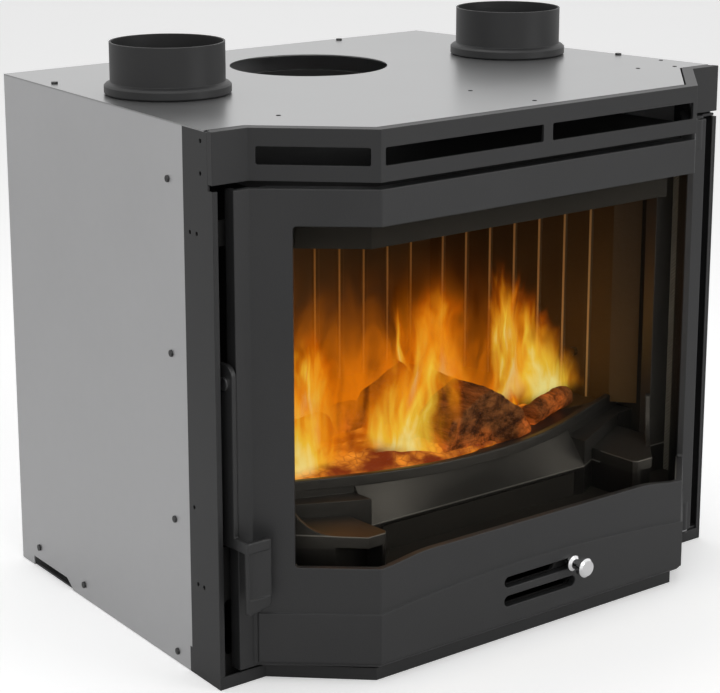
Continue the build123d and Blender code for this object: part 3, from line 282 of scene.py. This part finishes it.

# Fluted lining, baffle and hearth plate: iron burnt to a dark brown, darker towards the top. The
# flanks at the crests of the ribs get a painted highlight of lighter tan for the light of the fire.
burnt, shader, at = finish("fire-stained iron", Specular_IOR_Level=0.3)
height = at.part(2)
cloud = at.noise(16.0, 6.0)
grit = at.noise(240.0, 3.0)
darker_upward = (height + cloud * 0.12).step(0.24, 0.5)
facing = at.make("ShaderNodeNewGeometry", out=1)
rib_pitch = 0.0375
first_rib = 0.11
painted_lit_flank = facing.part(0) * facing.part(1)
beside = at.part(0) * (1 / rib_pitch)
depth = at.part(1)
inward = (depth - first_rib) * (1 / rib_pitch) + 0.5
back = depth.step(0.348, 0.351)
count = back.make("ShaderNodeMix", out=0, i0=back, i2=inward, i3=beside)
off = count.maths("FRACT", count) - 0.5
off = off.size()
crest = off.step(0.055, 0.066) * (1 - off.step(0.095, 0.115))
ribbed = depth.step(first_rib - 0.01, first_rib - 0.006)
painted_lit_flank = painted_lit_flank.size().step(0.25, 0.4) * ribbed * crest
plain = darker_upward.tint((0.11, 0.065, 0.022, 1), (0.045, 0.025, 0.008, 1))
# Painted highlight: the rib flanks beside each crest get a bright tan that stands for the firelight
# they catch.
painted_firelight = darker_upward.tint((0.75, 0.46, 0.16, 1), (0.5, 0.27, 0.08, 1))
feed(shader, painted_lit_flank.tint(plain, painted_firelight), "Base Color")
feed(shader, cloud * 0.25 + 0.45, "Roughness")
feed(shader, (grit + cloud).bump(0.25, 0.0008), "Normal")
dress(burnt, "fluted_side_left", "fluted_side_right", "fluted_back", "baffle_plate", "hearth_plate")

# Door glass: clear glass ceramic bent in three faces, slightly amber. It lies on its gasket behind
# the casting and mirrors only at a flat angle.
pane, shader, at = finish("glass ceramic", Base_Color=(1, 0.96, 0.9, 1), Roughness=0.03)
tree = pane.node_tree
clear = tree.nodes.new("ShaderNodeBsdfTransparent")
clear.inputs["Color"].default_value = (0.94, 0.92, 0.88, 1)
shine = tree.nodes.new("ShaderNodeFresnel")
shine.inputs["IOR"].default_value = 1.04
blend = tree.nodes.new("ShaderNodeMixShader")
shader.inputs["Metallic"].default_value = 1.0
tree.links.new(shine.outputs[0], blend.inputs["Fac"])
tree.links.new(clear.outputs[0], blend.inputs[1])
tree.links.new(shader.outputs[0], blend.inputs[2])
tree.links.new(blend.outputs[0], tree.nodes["Material Output"].inputs["Surface"])
dress(pane, "door_glass")

# Rope seal and glass gasket: braided glass fibre, grey. The rope is pressed into the door's channel
# and the flat tape lies under the edge of the glass.
braid, shader, at = finish("glass-fibre braid", Roughness=0.9)
slanted = {"bands_direction": "DIAGONAL"}
weave = at.make("ShaderNodeTexWave", slanted, Vector=at, Scale=160.0, Distortion=2.0, out=1)
feed(shader, weave.tint((0.12, 0.12, 0.11, 1), (0.3, 0.3, 0.28, 1)), "Base Color")
feed(shader, weave.bump(0.6, 0.001), "Normal")
dress(braid, "door_rope", "glass_gasket")

# Pins, washer, clips and screws: zinc-plated steel, bright on the hinge, the lever's pivot and the
# glass clips, and blackened on the screws of the casing.
plated, shader, at = finish("plated steel", metallic=1.0)
cloud = at.noise(120.0, 3.0)
feed(shader, cloud.tint((0.3, 0.3, 0.31, 1), (0.5, 0.5, 0.5, 1)), "Base Color")
feed(shader, cloud * 0.2 + 0.25, "Roughness")
dress(plated, "hinge_pins", "hinge_washer", "lever_pivot", "glass_clips")
dark_screw, shader, at = finish("blackened screw", metallic=0.8)
cloud = at.noise(200.0, 2.0)
feed(shader, cloud.tint((0.03, 0.03, 0.03, 1), (0.07, 0.07, 0.07, 1)), "Base Color")
feed(shader, cloud * 0.2 + 0.3, "Roughness")
dress(dark_screw, "side_screws_left", "side_screws_right", "top_screws")

# Register knob: turned from steel and polished, with faint marks of the tool. It is pressed on the
# air register behind the door's slots.
polish, shader, at = finish("polished steel", metallic=1.0, Base_Color=(0.82, 0.82, 0.83, 1))
rings = at.noise(300.0, 2.0)
feed(shader, rings * 0.15 + 0.1, "Roughness")
feed(shader, rings.bump(0.05, 0.0002), "Normal")
dress(polish, "register_knob")

# Firewood: a split log that points at the door, a branch and a round log. They are charred, with
# fibres along the split and dark cracks where the heat has opened them. Their emission is a faint
# painted firelight all over, and near the hearth a red that is partly ember glow, partly painted
# firelight.
bark, shader, at = finish("charred wood", Roughness=0.85, Specular_IOR_Level=0.2)
along = at.make("ShaderNodeMapping", Vector=at, Scale=(1.0, 0.3, 1.4))
fibre = along.noise(60.0, 8.0, Roughness=0.7)
crazing = at.make("ShaderNodeTexVoronoi", {"feature": "DISTANCE_TO_EDGE"}, Vector=along, Scale=48.0)
heat = at.noise(20.0, 5.0)
height = at.part(2)
grain = fibre.step(0.32, 0.7) * (crazing.step(0.0, 0.035) * 0.45 + 0.55)
ember_glow_and_firelight = (heat + (0.19 - height) * 5.0).step(0.45, 0.85)
feed(shader, grain.tint((0.02, 0.008, 0.004, 1), (0.5, 0.2, 0.06, 1)), "Base Color")
# Emission: a faint painted firelight on all the wood, and low on the pale fibres a bright red that is
# partly ember glow and partly painted firelight.
feed(shader, (grain * ember_glow_and_firelight).tint((0.02, 0.004, 0.001, 1), (0.75, 0.15, 0.015, 1)), "Emission Color")
shader.inputs["Emission Strength"].default_value = 0.8
feed(shader, (fibre + grain * 0.4).bump(1.0, 0.006), "Normal")
splinters = bpy.data.textures.new("splinters", "CLOUDS")
splinters.noise_scale = 0.03
bpy.ops.object.select_all(action="DESELECT")
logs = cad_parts["firewood"].copy()
logs.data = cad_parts["firewood"].data.copy()
logs.name = "burning_logs"
scene.collection.objects.link(logs)
logs.select_set(True)
bpy.context.view_layer.objects.active = logs
bpy.ops.object.mode_set(mode="EDIT")
bpy.ops.mesh.select_all(action="SELECT")
bpy.ops.mesh.remove_doubles(threshold=0.00005)
bpy.ops.transform.translate(value=(0.02, 0, 0))
bpy.ops.object.mode_set(mode="OBJECT")
block = logs.modifiers.new("even mesh", "REMESH")
block.mode = "VOXEL"
block.voxel_size = 0.0022
rough = logs.modifiers.new("splinters", "DISPLACE")
rough.texture = splinters
rough.strength = 0.006
rough.mid_level = 0.6
for modifier in (block.name, rough.name):
    bpy.ops.object.modifier_apply(modifier=modifier)
bpy.ops.object.shade_smooth()
logs.data.materials.clear()
logs.data.materials.append(bark)
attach(logs, "casing")
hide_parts("firewood")

# Ember bed: a low heap of glowing coals and ash on the hearth plate, between the logs and the rim.
# A flattened ball is roughened and cut off level with the plate.
coals, shader, at = finish("embers", Roughness=0.9, Specular_IOR_Level=0.1)
lumps = at.make("ShaderNodeTexVoronoi", {"feature": "DISTANCE_TO_EDGE"}, Vector=at, Scale=90.0)
heat = at.noise(30.0, 4.0)
hot = heat.step(0.38, 0.68) * (lumps.step(0.0, 0.12) * 0.5 + 0.5)
feed(shader, heat.tint((0.02, 0.008, 0.004, 1), (0.12, 0.07, 0.05, 1)), "Base Color")
feed(shader, hot.tint((0.2, 0.02, 0.0, 1), (1.0, 0.32, 0.02, 1)), "Emission Color")
shader.inputs["Emission Strength"].default_value = 0.9
crumbs = bpy.data.textures.new("crumbs", "CLOUDS")
crumbs.noise_scale = 0.012
bpy.ops.object.select_all(action="DESELECT")
bpy.ops.mesh.primitive_uv_sphere_add(segments=96, ring_count=48, radius=1, location=(0, 0, 0))
embers = bpy.context.object
embers.name = "ember_bed"
embers.scale = (0.2, 0.085, 0.012)
embers.location = (-0.03, 0.115, 0.167)
bpy.ops.object.transform_apply(location=True, rotation=True, scale=True)
heap = embers.modifiers.new("crumbs", "DISPLACE")
heap.texture = crumbs
heap.strength = 0.012
bpy.ops.object.modifier_apply(modifier=heap.name)
bpy.ops.object.mode_set(mode="EDIT")
bpy.ops.mesh.select_all(action="SELECT")
bpy.ops.mesh.bisect(plane_co=(0, 0, 0.1652), plane_no=(0, 0, 1), use_fill=True, clear_inner=True)
bpy.ops.object.mode_set(mode="OBJECT")
bpy.ops.object.shade_smooth()
embers.data.materials.append(coals)
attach(embers, "casing")

# Flames: each tongue is a sheet of light turned its own way, rooted between the logs and curled by the
# draught. Its map gives it a tapered shape, and a stretched noise frays it towards the tip.
fire, shader, at = finish("flame", Base_Color=(0, 0, 0, 1), Roughness=1.0, Specular_IOR_Level=0.0)
sheet = at.make("ShaderNodeUVMap")
across = sheet.part(0)
rise = sheet.part(1)
long_way = at.make("ShaderNodeMapping", Vector=at, Scale=(24.0, 20.0, 9.0))
fine_way = at.make("ShaderNodeMapping", Vector=at, Scale=(60.0, 40.0, 18.0))
licks = long_way.noise(1.0, 2.0, Distortion=0.8)
wisps = fine_way.noise(1.0, 3.0, Distortion=1.0)
aside = across - 0.5 + (licks - 0.5) * (rise + 0.2) * 0.85
body = (1.0 - rise * rise) * 0.42 + (wisps - 0.5) * 0.25 - aside.size()
core = body * 2.2 + (0.4 - rise) * 0.6 + (licks - 0.5) * 0.9 + (wisps - 0.5) * 0.5
colour = core.make(
    "ShaderNodeValToRGB",
    {"stops": [
        (0.0, (0.75, 0.13, 0.0, 1)), (0.3, (0.92, 0.32, 0.01, 1)),
        (0.7, (0.95, 0.6, 0.05, 1)), (1.0, (0.98, 0.85, 0.3, 1)),
    ]},
    Fac=core,
)
feed(shader, colour, "Emission Color")
shader.inputs["Emission Strength"].default_value = 1.0
ends = rise.step(0.0, 0.12) * (1 - rise.step(0.6, 1.0))
feed(shader, body.step(-0.05, 0.3) * ends * 0.85, "Alpha")
smoke, shader, at = finish("fire haze", Base_Color=(0, 0, 0, 1), Roughness=1.0, Specular_IOR_Level=0.0)
sheet = at.make("ShaderNodeUVMap")
across = sheet.part(0)
rise = sheet.part(1)
long_way = at.make("ShaderNodeMapping", Vector=at, Scale=(18.0, 14.0, 7.0))
licks = long_way.noise(1.0, 3.0, Distortion=1.5)
middle = across.step(0.0, 0.2) * (1 - across.step(0.75, 1.0))
thick = (1 - rise.step(0.1, 0.95)) * middle * rise.step(0.0, 0.06)
hot = (licks + thick * 0.4).step(0.35, 0.95)
feed(shader, hot.tint((0.45, 0.07, 0.0, 1), (1.0, 0.25, 0.005, 1)), "Emission Color")
shader.inputs["Emission Strength"].default_value = 0.9
feed(shader, thick * thick * licks.step(0.1, 0.75) * 0.85, "Alpha")
sway = bpy.data.textures.new("sway", "CLOUDS")
sway.noise_scale = 0.1
flame_root = 0.167
tongues = [
    ((-0.19, 0.07), 0.12, 0.14, -12, -20),
    ((-0.14, 0.11), 0.11, 0.17, -4, 20),
    ((-0.11, 0.16), 0.1, 0.14, 6, -60),
    ((-0.075, 0.065), 0.13, 0.19, 22, -30),
    ((-0.02, 0.1), 0.12, 0.19, 12, 10),
    ((0.04, 0.18), 0.1, 0.15, 4, 65),
    ((0.205, 0.115), 0.12, 0.16, -14, -25),
    ((0.175, 0.14), 0.13, 0.19, -8, 10),
    ((0.12, 0.2), 0.1, 0.16, -4, -50),
    ((0.1, 0.055), 0.025, 0.06, -10, -30),
]
sheets = [(*tongue, fire) for tongue in tongues]
for place, turn in (((-0.02, 0.09), 4), ((-0.01, 0.19), -4)):
    sheets.append((place, 0.44, 0.25, 0, turn, smoke))
for number, (place, wide, tall, lean, turn, matter) in enumerate(sheets):
    bpy.ops.object.select_all(action="DESELECT")
    bpy.ops.mesh.primitive_grid_add(x_subdivisions=14, y_subdivisions=20, size=1, location=(0, 0.5, 0))
    flame = bpy.context.object
    flame.name = f"flame_{number}"
    bpy.ops.object.transform_apply(location=True)
    flame.scale = (wide, tall, 1)
    flame.rotation_euler = (pi / 2, radians(lean), radians(turn))
    flame.location = (*place, flame_root)
    bpy.ops.object.transform_apply(location=True, rotation=True, scale=True)
    curl = flame.modifiers.new("curl", "DISPLACE")
    curl.texture = sway
    curl.texture_coords = "GLOBAL"
    curl.strength = 0.03
    bpy.ops.object.modifier_apply(modifier=curl.name)
    bpy.ops.object.shade_smooth()
    flame.data.materials.append(matter)
    flame.visible_shadow = False
    flame.visible_diffuse = False
    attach(flame, "casing")
for place, power in (
    ((-0.16, 0.06, 0.23), 0.06), ((0.02, 0.05, 0.27), 0.07),
    ((0.16, 0.12, 0.26), 0.05), ((0.0, 0.28, 0.25), 0.05),
):
    bpy.ops.object.light_add(type="POINT", location=place)
    bpy.context.object.data.energy = power
    bpy.context.object.data.color = (1.0, 0.5, 0.14)
    bpy.context.object.data.shadow_soft_size = 0.04

# Small holes in the top panel, punched to fix the hood's rim and the casing's folds. Each is a thin
# dark disc on the sheet: painted shade for the dark inside of the hole.
painted_hole_shade, shader, at = finish("painted hole shade", Roughness=1.0, Specular_IOR_Level=0.0)
shadow = at.noise(300.0, 2.0)
# Painted shade: the disc's near-black colour stands for the shaded inside of the hole.
feed(shader, shadow.tint((0.004, 0.004, 0.004, 1), (0.012, 0.012, 0.012, 1)), "Base Color")
bpy.ops.object.select_all(action="DESELECT")
holes = []
top_face = 0.5571
for x, y in (
    (-0.241, 0.038), (0.014, -0.053), (0.009, 0.037), (0.306, 0.026), (0.263, 0.041), (0.331, 0.07),
):
    bpy.ops.mesh.primitive_cylinder_add(
        vertices=16, radius=0.0024, depth=0.0004, location=(x, y, top_face)
    )
    bpy.ops.object.mode_set(mode="EDIT")
    bpy.ops.mesh.bevel(offset=0.0001, segments=1)
    bpy.ops.object.mode_set(mode="OBJECT")
    holes.append(bpy.context.object)
for hole in holes:
    hole.select_set(True)
bpy.ops.object.join()
dots = bpy.context.object
dots.name = "top_hole_shade"
bpy.ops.object.transform_apply(location=True, rotation=True, scale=True)
dots.data.materials.clear()
dots.data.materials.append(painted_hole_shade)
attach(dots, "casing")
